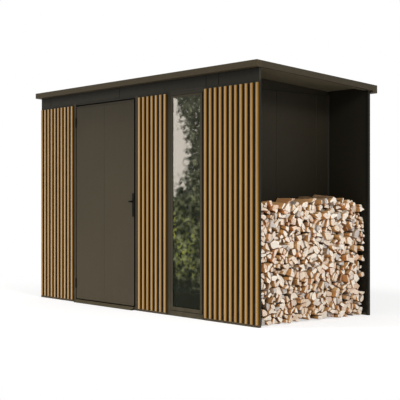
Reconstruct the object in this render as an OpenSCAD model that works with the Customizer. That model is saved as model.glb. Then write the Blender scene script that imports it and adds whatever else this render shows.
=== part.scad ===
// Pent-roof metal garden shed with a door, a tall window and an open-sided log store.
// Millimetres. +Z is up, the front faces -Y and the log store is at the +X end.
// The origin is on the ground, midway along the length and the depth of the roof.
// A station is a distance along the front, counted leftwards from the right end of the walls.

/* [Overall] */
// Length of the walls along the front
wall_len = 3396; // [2840:2:4400]
// Depth of the walls from the front face to the rear face
wall_depth = 1400; // [1150:10:1800]
// Height of the wall panels, up to the line under the header
panel_h = 2040; // [1690:5:2460]
// Thickness of the wall panels
wall_t = 24; // [18:1:40]
// Height of the base rails and of the floor
base_h = 21; // [15:1:40]
// How far the front base rail stands out from the front face
rail_proud = 6; // [1:1:12]

/* [Roof] */
// Slope of the roof, down to the rear
roof_pitch = 3.85; // [2:0.05:6]
// Height of the rear wall above its panels
rear_header_h = 36; // [20:1:120]
// Thickness of the roof panel
roof_t = 22; // [15:1:40]
// Gap for the seal between the walls and the roof panel
roof_seal = 0.2; // [0.1:0.1:0.8]
// How far the trims stand above the roof panel
trim_upstand = 4; // [2:1:20]
// Height of the roof trims
trim_h = 54; // [50:1:90]
// Extra height of the rear trim below the side trims
gutter_drop = 18; // [5:1:40]
// Overhang at the front
front_overhang = 50; // [50:1:120]
// Overhang at the left end
left_overhang = 42; // [15:1:60]
// Overhang at the log store's end
right_overhang = 25; // [15:1:60]
// Gap between the rear wall and the rear trim
gutter_gap = 15; // [5:1:40]
// Width of the rear trim
gutter_w = 55; // [30:1:90]
// Station of the joint in the front trim
trim_joint = 1920; // [800:10:2400]

/* [Wall panels] */
// Width of one wall cassette
cassette_w = 524; // [400:1:700]
// Station of the first cassette joint behind the front face, on the end walls
first_joint = 161; // [80:1:300]
// Width of the chamfer along each cassette edge
seam_chamfer = 3; // [1:0.5:6]
// Gap between neighbouring cassettes
seam_gap = 0.6; // [0.3:0.1:1]
// Depth by which a gable stands behind the panels under it
gable_recess = 2; // [1:0.5:5]
// Station of the header's joint over the door
header_door_joint = 1958; // [1000:1:2400]
// Length of the header's last piece, at the left end
header_end_len = 187; // [100:1:400]
// Distance from the header's joint by the window to the end of the right slats
header_window_margin = 12; // [0:1:40]

/* [Slats] */
// Distance from one slat to the next
slat_pitch = 65; // [50:1:90]
// Width of a slat
slat_w = 30; // [20:1:45]
// Depth of a slat
slat_depth = 14; // [8:1:25]
// Chamfer on the front edges of a slat
slat_chamfer = 1.5; // [0.5:0.5:4]
// Distance from the top of the panels to the top of the slats
slat_top_margin = 22; // [5:1:60]
// Number of slats to the right of the window
slats_right_count = 11; // [9:1:14]
// Number of slats between the window and the door
slats_middle_count = 7; // [3:1:10]
// Plain margin between the left slats and the end of the wall
end_margin = 10; // [0:1:30]

/* [Log store] */
// Width of the log store bay, from the end of the walls to the partition
store_w = 490; // [400:10:540]
// Width of the front post of the log store
front_post_w = 22; // [15:1:40]
// Width of the rear post of the log store
rear_post_w = 24; // [15:1:40]
// How far the rear post stands out from the rear wall
rear_post_step = 4; // [2:1:10]
// Width of the beam at the open side
edge_beam_w = 50; // [30:1:90]
// Width of each leg of the corner trim beside the partition
corner_trim_w = 14; // [8:1:30]
// Length of the split logs
log_len = 440; // [300:10:460]
// Height of the stacked firewood
stack_h = 1040; // [600:10:1400]
// Gap between the firewood and the front panel
stack_front_gap = 4; // [1:1:20]
// Gap between the firewood and the rear wall
stack_rear_gap = 36; // [30:1:80]

/* [Window] */
// Width of the post to the right of the window
window_post_w = 28; // [15:1:60]
// Width of the shadow gap between the post and the window frame
window_gap = 15; // [5:1:25]
// Depth of the shadow gap
window_gap_depth = 15; // [5:1:20]
// Width of the window frame
window_w = 436; // [300:1:600]
// Width of the panel to the left of the window
window_jamb_w = 61; // [40:1:150]
// Height of the bottom of the window frame
window_sill_h = 48; // [30:1:900]
// Distance from the top of the panels to the top of the window frame
window_top_margin = 43; // [30:1:200]
// Distance from the top of the panels to the line across the piece over the window
window_line_drop = 17; // [8:1:25]
// Width and depth of the lines around the window
window_line = 2.5; // [1:0.5:4]
// Width of the frame's uprights
window_stile_w = 27; // [18:1:60]
// Height of the frame's top rail
window_top_rail = 24; // [18:1:60]
// Height of the frame's bottom rail
window_bottom_rail = 35; // [18:1:80]
// Depth of the window frame
window_frame_t = 40; // [30:1:60]
// How far the glass stands behind the face of the frame
glass_recess = 4; // [2:1:15]
// Thickness of the glass
glass_t = 6; // [4:1:12]

/* [Door] */
// Width of the door leaf
door_w = 989; // [800:1:1200]
// Thickness of the door leaf
door_t = 38; // [30:1:50]
// How far the leaf stands out from the front face
leaf_proud = 4; // [0:1:8]
// Height of the bottom of the leaf
door_bottom = 40; // [36:1:60]
// Distance from the top of the panels to the top of the leaf
door_top_margin = 32; // [26:1:60]
// Gap beside the leaf on the handle side
handle_side_gap = 15; // [8:1:20]
// Gap beside the leaf on the hinge side
hinge_side_gap = 15; // [15:0.5:20]
// Width of the jamb on the handle side
jamb_right_w = 36; // [25:1:80]
// Width of the jamb on the hinge side
jamb_left_w = 46; // [30:1:100]
// Plain margin between the middle slats and the jamb
middle_margin = 24; // [5:1:60]
// Plain margin between the hinge side jamb and the left slats
left_margin = 6; // [5:1:60]
// Height of the band over the door
head_band_h = 17; // [10:1:20]
// Depth by which the band over the door stands behind the front face
head_recess = 4; // [2:1:10]
// Gap between the closed leaf and its stops
stop_gap = 5; // [5:0.5:8]
// Width of the stops behind the leaf
stop_w = 28; // [22:1:40]
// Thickness of the stops
stop_t = 6; // [4:1:12]
// Height of the threshold
threshold_h = 28; // [22:1:32]
// Height of the ramp against the threshold
ramp_top = 28; // [15:1:32]
// Height of the ramp's front edge
ramp_edge = 5; // [3:1:12]
// Depth of the ramp
ramp_depth = 40; // [30:1:48]
// Distance from the top of the leaf to its cross line
leaf_line_drop = 18; // [10:1:60]

/* [Hinges] */
// Diameter of the hinge barrels
barrel_d = 14; // [12:0.5:14]
// Diameter of the hinge pins
pin_d = 8; // [6:1:10]
// Running clearance of the pins in the barrels, on the radius
pin_clear = 0.08; // [0.05:0.01:0.1]
// Height of a hinge
hinge_h = 98; // [70:1:140]
// Height of the bottom of the lower hinge
hinge_low = 148; // [100:1:300]
// Distance from the top of the panels to the top of the upper hinge
hinge_top_margin = 148; // [100:1:300]
// Gap between the two barrels of a hinge
knuckle_gap = 0.4; // [0.2:0.1:1]
// Thickness of the hinge plates
hinge_plate_t = 2; // [1:0.5:2]
// How far the hinge plates reach behind the front face
hinge_plate_depth = 26; // [20:1:32]
// Distance from the face of the leaf out to the middle of the barrels
barrel_out = 2; // [1:0.5:4]

/* [Handle] */
// Distance from the edge of the leaf to the middle of the handle
handle_backset = 14; // [12:1:60]
// Height of the middle of the lever
lever_h = 1035; // [900:1:1100]
// Width of the handle plate
plate_w = 22; // [18:1:50]
// Height of the handle plate
plate_h = 225; // [160:1:260]
// Distance from the top of the plate to the middle of the lever
plate_above = 80; // [40:1:110]
// Thickness of the handle plate
plate_t = 5; // [4:1:10]
// Diameter of the lever's neck and spindle
neck_d = 13; // [10:1:14]
// Diameter of the lever's grip
grip_d = 17; // [14:1:22]
// Length of the lever's grip, from the middle of the neck
grip_len = 36; // [30:1:140]
// Distance from the face of the leaf to the middle of the grip
grip_out = 26; // [22:1:36]
// Clearance of the spindle in the leaf and the plate, on the radius
spindle_clear = 0.3; // [0.2:0.1:0.6]
// How far the spindle runs into the leaf
spindle_depth = 28; // [15:1:28]
// Gap behind the end of the spindle
spindle_end_gap = 1; // [0.5:0.5:2]

/* [Hidden] */
$fn = 48;

// Ends of the walls, and their front and rear faces
roof_len = left_overhang + wall_len + right_overhang;
right_x = roof_len / 2 - right_overhang;
left_x = -roof_len / 2 + left_overhang;
roof_depth = front_overhang + wall_depth + gutter_gap + gutter_w;
front_y = front_overhang - roof_depth / 2;
rear_y = front_y + wall_depth;
inner_front_y = front_y + wall_t;
inner_rear_y = rear_y - wall_t;
part_x = right_x - store_w;

// Levels
slat_top = panel_h - slat_top_margin;
roof_drop = trim_upstand + roof_t;
roof_rear_z = panel_h + rear_header_h + roof_drop;

// Stations along the front, from right to left
right_slats_end = (slats_right_count - 1) * slat_pitch + slat_w;
gap_start = right_slats_end + window_post_w;
window_start = gap_start + window_gap;
window_end = window_start + window_w;
window_jamb_end = window_end + window_jamb_w;
middle_slats_end = window_jamb_end + (slats_middle_count - 1) * slat_pitch + slat_w;
jamb_right_start = middle_slats_end + middle_margin;
doorway_start = jamb_right_start + jamb_right_w;
leaf_start = doorway_start + handle_side_gap;
leaf_end = leaf_start + door_w;
doorway_end = leaf_end + hinge_side_gap;
jamb_left_end = doorway_end + jamb_left_w;
left_slats_room = wall_len - end_margin - slat_w - jamb_left_end - left_margin;
slats_left_count = left_slats_room < 0 ? 0 : floor(left_slats_room / slat_pitch) + 1;

// Door
leaf_top = panel_h - door_top_margin;
leaf_line_w = 1.6;
leaf_line_depth = 1;
leaf_chamfer = 1.5;
leaf_y = front_y - leaf_proud;
stop_y = leaf_y + door_t + stop_gap;
hinge_station = leaf_end + hinge_side_gap / 2;
hinge_y = leaf_y - barrel_out;
hinge_levels = [hinge_low, panel_h - hinge_top_margin - hinge_h];
handle_station = leaf_start + handle_backset;
plate_low = lever_h + plate_above - plate_h;
plate_corner = 4;
keyhole_d = 10;
keyhole_drop = 92;

// Cut-aways that shape a piece reach this far past it
past = 1;

// Height of the top of the roof trims at a depth y
function roof_z(y) = roof_rear_z + tan(roof_pitch) * (rear_y - y);

// X of a station
function at(station) = right_x - station;

// Outline of a strip of the roof between two depths, given by its drops below the trims' top
function roof_strip(y0, y1, drop0, drop1) = [
    [y0, roof_z(y0) - drop1],
    [y1, roof_z(y1) - drop1],
    [y1, roof_z(y1) - drop0],
    [y0, roof_z(y0) - drop0]
];

// Outline of a wall top between two depths, from a level up to the roof panel
function wall_top(y0, y1, z0) = [
    [y0, z0],
    [y1, z0],
    [y1, roof_z(y1) - roof_drop - roof_seal],
    [y0, roof_z(y0) - roof_drop - roof_seal]
];

// Outline of a rectangle with a chamfer at the start and end of its two long sides
function cassette_plan(w, t, c) = [
    [c, 0], [w - c, 0], [w, c], [w, t - c], [w - c, t], [c, t], [0, t - c], [0, c]
];

// Joints between cassettes: the ends, and a joint at the first one and at each width after it
function joints_from(start, end, first, width) = concat(
    [start],
    [for (p = [first : width : end - seam_chamfer * 8]) if (p > start + seam_chamfer * 8) p],
    [end]
);

// A block between two stations
module block(s0, s1, y0, y1, z0, z1) {
    translate([at(s1), y0, z0])
        cube([s1 - s0, y1 - y0, z1 - z0]);
}

// An outline in depth and height, drawn out along the length between two X places
module along_x(x0, x1, outline) {
    translate([x0, 0, 0])
        rotate([90, 0, 90])
            linear_extrude(x1 - x0) polygon(outline);
}

// Cassettes side by side along X, with the front of each at y0
module cassettes_x(x_joints, y0, z0, z1) {
    for (i = [0 : len(x_joints) - 2]) {
        w = x_joints[i + 1] - x_joints[i] - seam_gap;
        translate([x_joints[i] + seam_gap / 2, y0, z0])
            linear_extrude(z1 - z0) polygon(cassette_plan(w, wall_t, seam_chamfer));
    }
}

// Cassettes side by side along Y, with the left face of each at x0
module cassettes_y(y_joints, x0, z0, z1) {
    for (i = [0 : len(y_joints) - 2]) {
        w = y_joints[i + 1] - y_joints[i] - seam_gap;
        translate([x0 + wall_t, y_joints[i] + seam_gap / 2, z0])
            rotate([0, 0, 90])
                linear_extrude(z1 - z0) polygon(cassette_plan(w, wall_t, seam_chamfer));
    }
}

// A row of slats from one station leftwards
module slat_row(start, count) {
    c = slat_chamfer;
    for (i = [0 : 1 : count - 1])
        translate([at(start + i * slat_pitch + slat_w), front_y - slat_depth, base_h])
            linear_extrude(slat_top - base_h)
                polygon([[0, c], [c, 0], [slat_w - c, 0], [slat_w, c],
                         [slat_w, slat_depth], [0, slat_depth]]);
}

module base_rail_front() {
    color([0.10, 0.09, 0.08]) {
        rail_y = front_y - rail_proud;
        block(0, right_slats_end, rail_y, inner_front_y, 0, base_h);
        block(window_jamb_end, jamb_right_start, rail_y, inner_front_y, 0, base_h);
        block(jamb_left_end, wall_len, rail_y, inner_front_y, 0, base_h);
    }
}

module base_rail_rear() {
    color([0.10, 0.09, 0.08])
        block(rear_post_w, wall_len, inner_rear_y, rear_y, 0, base_h);
}

module base_rail_left() {
    color([0.10, 0.09, 0.08])
        block(wall_len - wall_t, wall_len, inner_front_y, inner_rear_y, 0, base_h);
}

module base_rail_partition() {
    color([0.10, 0.09, 0.08])
        block(store_w, store_w + wall_t, inner_front_y, inner_rear_y, 0, base_h);
}

module shed_floor() {
    color([0.45, 0.43, 0.40])
        block(store_w + wall_t, wall_len - wall_t, inner_front_y, inner_rear_y, 0, base_h);
}

module front_panel_left() {
    color([0.17, 0.16, 0.13])
        block(jamb_left_end, wall_len, front_y, inner_front_y, base_h, panel_h);
}

module front_panel_middle() {
    color([0.17, 0.16, 0.13])
        block(window_jamb_end, jamb_right_start, front_y, inner_front_y, base_h, panel_h);
}

module front_panel_right() {
    color([0.17, 0.16, 0.13])
        block(front_post_w, right_slats_end, front_y, inner_front_y, base_h, panel_h);
}

// The header over the front, in lengths that meet over the partition, the window and the walls
module front_header() {
    header_joints = [
        0, store_w + wall_t / 2, right_slats_end - header_window_margin, header_door_joint,
        wall_len - header_end_len, wall_len
    ];
    color([0.19, 0.18, 0.15])
        for (i = [0 : len(header_joints) - 2])
            along_x(at(header_joints[i + 1]) + seam_gap / 2, at(header_joints[i]) - seam_gap / 2,
                    wall_top(front_y, inner_front_y, panel_h));
}

module slats_left() {
    color([0.72, 0.58, 0.42])
        slat_row(wall_len - end_margin - slat_w - (slats_left_count - 1) * slat_pitch,
                 slats_left_count);
}

module slats_middle() {
    color([0.72, 0.58, 0.42])
        slat_row(window_jamb_end, slats_middle_count);
}

module slats_right() {
    color([0.72, 0.58, 0.42])
        slat_row(0, slats_right_count);
}

// Upright beside the door with the stop behind the leaf
module door_jamb(s0, s1, stop_s0, stop_s1) {
    block(s0, s1, front_y, inner_front_y, 0, panel_h);
    block(s0, s1, inner_front_y, stop_y + stop_t, base_h, panel_h);
    block(stop_s0, stop_s1, stop_y, stop_y + stop_t, base_h, panel_h);
}

module door_jamb_left() {
    color([0.30, 0.28, 0.23])
        union() door_jamb(doorway_end, jamb_left_end, doorway_end - stop_w, doorway_end);
}

module door_jamb_right() {
    color([0.30, 0.28, 0.23])
        union() door_jamb(jamb_right_start, doorway_start, doorway_start, doorway_start + stop_w);
}

module door_head() {
    band_z = panel_h - head_band_h;
    color([0.27, 0.25, 0.20])
        union() {
            block(doorway_start, doorway_end, front_y + head_recess, stop_y, band_z, panel_h);
            block(doorway_start + stop_w, doorway_end - stop_w, stop_y, stop_y + stop_t,
                  leaf_top - stop_w / 2, panel_h);
        }
}

module door_threshold() {
    color([0.16, 0.15, 0.12])
        block(doorway_start, doorway_end, front_y, inner_front_y, 0, threshold_h);
}

module door_ramp() {
    color([0.30, 0.28, 0.21])
        along_x(at(leaf_end), at(leaf_start),
                [[front_y - ramp_depth, 0], [front_y, 0], [front_y, ramp_top],
                 [front_y - ramp_depth, ramp_edge]]);
}

// Post beside the last right slat, with the floor of the shadow gap
module window_post() {
    window_back = front_y + window_frame_t;
    color([0.20, 0.19, 0.16])
        union() {
            block(right_slats_end, gap_start, front_y, inner_front_y, 0, base_h);
            block(right_slats_end, gap_start, front_y, window_back, base_h, panel_h);
            block(gap_start, window_start, front_y + window_gap_depth, window_back,
                  window_sill_h, panel_h - window_top_margin);
        }
}

module window_jamb() {
    color([0.29, 0.27, 0.22])
        block(window_end, window_jamb_end, front_y, inner_front_y, 0, panel_h);
}

// A line cut across the front, with its lower edge at a level
module front_line(level) {
    block(gap_start - past, window_end + past, front_y - past, front_y + window_line,
          level, level + window_line);
}

module window_head() {
    color([0.25, 0.23, 0.19])
        difference() {
            block(gap_start, window_end, front_y, front_y + window_frame_t,
                  panel_h - window_top_margin, panel_h);
            front_line(panel_h - window_top_margin);
            front_line(panel_h - window_line_drop);
        }
}

module window_sill() {
    color([0.29, 0.27, 0.22])
        difference() {
            block(gap_start, window_end, front_y, inner_front_y, 0, window_sill_h);
            front_line(window_sill_h - window_line);
        }
}

// Where the glass lies in the frame, as [lowest, highest] stations and levels
glass_s = [window_start + window_stile_w, window_end - window_stile_w];
glass_z = [window_sill_h + window_bottom_rail, panel_h - window_top_margin - window_top_rail];
// How far the glass runs into the groove of the frame
glass_bite = 8;

module window_frame() {
    glass_y = front_y + glass_recess;
    color([0.22, 0.20, 0.17])
        difference() {
            block(window_start, window_end, front_y, front_y + window_frame_t,
                  window_sill_h, panel_h - window_top_margin);
            block(glass_s[0], glass_s[1], front_y - past, front_y + window_frame_t + past,
                  glass_z[0], glass_z[1]);
            block(glass_s[0] - glass_bite, glass_s[1] + glass_bite, glass_y, glass_y + glass_t,
                  glass_z[0] - glass_bite, glass_z[1] + glass_bite);
        }
}

module window_glass() {
    glass_y = front_y + glass_recess;
    color([0.25, 0.29, 0.26, 0.6])
        block(glass_s[0] - glass_bite, glass_s[1] + glass_bite, glass_y, glass_y + glass_t,
              glass_z[0] - glass_bite, glass_z[1] + glass_bite);
}

// Joints of the cassettes in the two end walls
end_joints = joints_from(inner_front_y, inner_rear_y, front_y + first_joint, cassette_w);

module left_wall() {
    color([0.26, 0.24, 0.19])
        cassettes_y(end_joints, left_x, base_h, panel_h);
}

module left_gable() {
    color([0.24, 0.22, 0.18])
        along_x(left_x + gable_recess, left_x + wall_t - gable_recess,
                wall_top(inner_front_y, inner_rear_y, panel_h));
}

module rear_wall() {
    run = wall_len - store_w - wall_t / 2;
    count = max(1, round(run / cassette_w));
    x_joints = concat([for (i = [0 : count]) left_x + i * run / count], [right_x - rear_post_w]);
    color([0.24, 0.22, 0.18])
        cassettes_x(x_joints, inner_rear_y, base_h, panel_h);
}

module rear_header() {
    color([0.24, 0.22, 0.18])
        along_x(left_x, right_x, wall_top(inner_rear_y, rear_y, panel_h));
}

module partition_wall() {
    color([0.20, 0.18, 0.14])
        cassettes_y(end_joints, part_x - wall_t, base_h, panel_h);
}

module partition_gable() {
    color([0.20, 0.18, 0.14])
        along_x(part_x - wall_t + gable_recess, part_x - gable_recess,
                wall_top(inner_front_y, inner_rear_y, panel_h));
}

module store_front_post() {
    color([0.30, 0.28, 0.23])
        block(0, front_post_w, front_y, inner_front_y, base_h, panel_h);
}

module store_rear_post() {
    color([0.26, 0.24, 0.19])
        block(0, rear_post_w, inner_rear_y - rear_post_step, rear_y, 0, panel_h);
}

module store_edge_beam() {
    color([0.24, 0.22, 0.18])
        along_x(right_x - edge_beam_w, right_x,
                roof_strip(inner_front_y, inner_rear_y, roof_drop + roof_seal, trim_h));
}

module store_corner_trim() {
    color([0.16, 0.15, 0.12])
        translate([part_x, inner_rear_y, base_h])
            linear_extrude(panel_h - base_h)
                polygon([[0, 0], [0, -corner_trim_w], [2, -corner_trim_w],
                         [corner_trim_w, -2], [corner_trim_w, 0]]);
}

module roof_panel() {
    color([0.22, 0.21, 0.17])
        along_x(left_x, right_x,
                roof_strip(front_y, rear_y + gutter_gap, trim_upstand, roof_drop));
}

module roof_trim_front() {
    outline = roof_strip(front_y - front_overhang, front_y, 0, trim_h);
    color([0.33, 0.30, 0.24]) {
        along_x(left_x - left_overhang, at(trim_joint) - seam_gap / 2, outline);
        along_x(at(trim_joint) + seam_gap / 2, right_x + right_overhang, outline);
    }
}

module roof_trim_left() {
    color([0.29, 0.27, 0.22])
        along_x(left_x - left_overhang, left_x,
                roof_strip(front_y, rear_y + gutter_gap, 0, trim_h));
}

module roof_trim_right() {
    color([0.29, 0.27, 0.22])
        along_x(right_x, right_x + right_overhang,
                roof_strip(front_y, rear_y + gutter_gap, 0, trim_h));
}

module roof_trim_rear() {
    color([0.29, 0.27, 0.22])
        along_x(left_x - left_overhang, right_x + right_overhang,
                roof_strip(rear_y + gutter_gap, rear_y + gutter_gap + gutter_w,
                           0, trim_h + gutter_drop));
}

// The stack of split logs as one closed mass, leaning on the partition
module firewood_stack() {
    y0 = inner_front_y + stack_front_gap;
    y1 = inner_rear_y - stack_rear_gap;
    color([0.85, 0.75, 0.62])
        along_x(part_x, part_x + log_len,
                [[y0, 0], [y1, 0], [y1, stack_h - 60], [y1 - 70, stack_h], [y0 + 60, stack_h],
                 [y0, stack_h - 30]]);
}

module door_leaf() {
    middle = (leaf_start + leaf_end) / 2;
    line_z = leaf_top - leaf_line_drop;
    color([0.33, 0.30, 0.24])
        difference() {
            translate([at(leaf_end), leaf_y, door_bottom])
                linear_extrude(leaf_top - door_bottom)
                    polygon(cassette_plan(door_w, door_t, leaf_chamfer));
            // Folded joint down the middle of the outer skin
            translate([at(middle), leaf_y, door_bottom - past])
                linear_extrude(leaf_top - door_bottom + 2 * past)
                    polygon([[-leaf_line_w, -past], [leaf_line_w, -past], [0, leaf_line_w]]);
            // Line of the top rail
            block(leaf_start - past, leaf_end + past, leaf_y - past, leaf_y + leaf_line_depth,
                  line_z, line_z + leaf_line_w);
            // Bore for the spindle
            translate([at(handle_station), leaf_y - past, lever_h])
                rotate([-90, 0, 0])
                    cylinder(d = neck_d + 2 * spindle_clear, h = past + spindle_depth + spindle_end_gap);
        }
}

// One barrel with its plate: half 0 is the lower barrel on the jamb, half 1 the upper on the leaf
module hinge_half(level, half) {
    barrel_h = (hinge_h - knuckle_gap) / 2;
    z0 = level + half * (barrel_h + knuckle_gap);
    plate_s = half == 0 ? doorway_end - hinge_plate_t : leaf_end;
    difference() {
        union() {
            translate([at(hinge_station), hinge_y, z0])
                cylinder(d = barrel_d, h = barrel_h);
            block(plate_s, plate_s + hinge_plate_t, hinge_y, front_y + hinge_plate_depth,
                  z0, z0 + barrel_h);
        }
        translate([at(hinge_station), hinge_y, z0 - past])
            cylinder(r = pin_d / 2 + pin_clear, h = barrel_h + 2 * past);
    }
}

module hinge_frame_leaves() {
    color([0.10, 0.10, 0.09])
        for (level = hinge_levels)
            hinge_half(level, 0);
}

module hinge_door_leaves() {
    color([0.10, 0.10, 0.09])
        for (level = hinge_levels)
            hinge_half(level, 1);
}

module hinge_pins() {
    color([0.12, 0.12, 0.11])
        for (level = hinge_levels)
            translate([at(hinge_station), hinge_y, level])
                cylinder(d = pin_d, h = hinge_h);
}

// Outline of the handle plate from its lower edge up, with rounded corners
module plate_outline() {
    r = plate_corner;
    translate([-plate_w / 2, r])
        square([plate_w, plate_h - 2 * r]);
    translate([-plate_w / 2 + r, 0])
        square([plate_w - 2 * r, plate_h]);
    for (x = [-plate_w / 2 + r, plate_w / 2 - r], z = [r, plate_h - r])
        translate([x, z])
            circle(r);
}

module handle_plate() {
    plate_y = leaf_y - plate_t;
    color([0.13, 0.12, 0.11])
        difference() {
            translate([at(handle_station), leaf_y, plate_low])
                rotate([90, 0, 0])
                    linear_extrude(plate_t) plate_outline();
            translate([at(handle_station), plate_y - past, lever_h])
                rotate([-90, 0, 0])
                    cylinder(d = neck_d + 2 * spindle_clear, h = plate_t + 2 * past);
            translate([at(handle_station), plate_y - past, lever_h - keyhole_drop])
                rotate([-90, 0, 0])
                    cylinder(d = keyhole_d, h = plate_t + 2 * past);
        }
}

// Round grip with rounded ends, along -X from the middle of the neck
module lever_grip() {
    r = grip_d / 2;
    e = r / 2;
    rotate([0, -90, 0])
        rotate_extrude()
            union() {
                translate([0, -r])
                    square([r, grip_len + r - e]);
                translate([0, grip_len - e])
                    square([r - e, e]);
                translate([r - e, grip_len - e])
                    intersection() {
                        circle(e);
                        square(e);
                    }
            }
}

module lever_handle() {
    grip_y = leaf_y - grip_out;
    color([0.12, 0.11, 0.10])
        union() {
            translate([at(handle_station), grip_y, lever_h])
                rotate([-90, 0, 0])
                    cylinder(d = neck_d, h = grip_out + spindle_depth);
            translate([at(handle_station), grip_y, lever_h])
                lever_grip();
        }
}

base_rail_front();
base_rail_rear();
base_rail_left();
base_rail_partition();
shed_floor();
front_panel_left();
front_panel_middle();
front_panel_right();
front_header();
slats_left();
slats_middle();
slats_right();
door_jamb_left();
door_jamb_right();
door_head();
door_threshold();
door_ramp();
window_post();
window_jamb();
window_head();
window_sill();
window_frame();
window_glass();
left_wall();
left_gable();
rear_wall();
rear_header();
partition_wall();
partition_gable();
store_front_post();
store_rear_post();
store_edge_beam();
store_corner_trim();
roof_panel();
roof_trim_front();
roof_trim_left();
roof_trim_right();
roof_trim_rear();
firewood_stack();
door_leaf();
hinge_frame_leaves();
hinge_pins();
hinge_door_leaves();
handle_plate();
lever_handle();
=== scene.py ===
import math
import random

import bpy
import numpy as np
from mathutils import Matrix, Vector


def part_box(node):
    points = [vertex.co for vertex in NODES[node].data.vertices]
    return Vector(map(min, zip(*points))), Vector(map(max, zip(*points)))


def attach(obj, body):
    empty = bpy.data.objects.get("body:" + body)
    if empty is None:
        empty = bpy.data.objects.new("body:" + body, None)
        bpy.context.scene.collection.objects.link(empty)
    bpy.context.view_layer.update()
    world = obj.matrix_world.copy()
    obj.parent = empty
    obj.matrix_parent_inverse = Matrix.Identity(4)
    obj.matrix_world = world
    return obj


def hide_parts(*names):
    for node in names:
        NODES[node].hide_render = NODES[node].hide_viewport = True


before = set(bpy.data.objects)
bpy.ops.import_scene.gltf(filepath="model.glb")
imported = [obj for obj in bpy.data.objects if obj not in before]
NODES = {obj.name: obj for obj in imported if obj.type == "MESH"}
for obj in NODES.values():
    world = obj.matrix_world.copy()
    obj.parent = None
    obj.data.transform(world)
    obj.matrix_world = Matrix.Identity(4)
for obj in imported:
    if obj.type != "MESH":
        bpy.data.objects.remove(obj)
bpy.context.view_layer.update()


def new_object(name, data):
    """An object in the scene that shows data."""
    made = bpy.data.objects.new(name, data)
    bpy.context.scene.collection.objects.link(made)
    return made


# ----- camera

CAMERA_AT = (7.5527, -6.3173, 1.0516)
CAMERA_YAW = 49.63  # degrees, turned from looking along +Y towards -X
CAMERA_LENS = 88.7  # mm on a 36 mm sensor
CAMERA_SHIFT_Y = -0.0005


def make_camera():
    """The camera at the photograph's viewing angle, looking level."""
    data = bpy.data.cameras.new("camera")
    data.lens = CAMERA_LENS
    data.sensor_width = 36
    data.shift_y = CAMERA_SHIFT_Y
    data.clip_end = 300
    cam = new_object("camera", data)
    cam.location = CAMERA_AT
    cam.rotation_euler = (math.radians(90), 0, math.radians(CAMERA_YAW))
    bpy.context.scene.camera = cam


make_camera()

# ----- node helpers


def linear(r, g, b):
    """An 8-bit screen colour as the linear colour that a shader takes."""
    def one(c):
        c = c / 255
        return c / 12.92 if c <= 0.04045 else ((c + 0.055) / 1.055) ** 2.4
    return (one(r), one(g), one(b), 1.0)


def times(colour, k):
    return tuple(c * k for c in colour[:3]) + (1.0,)


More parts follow.
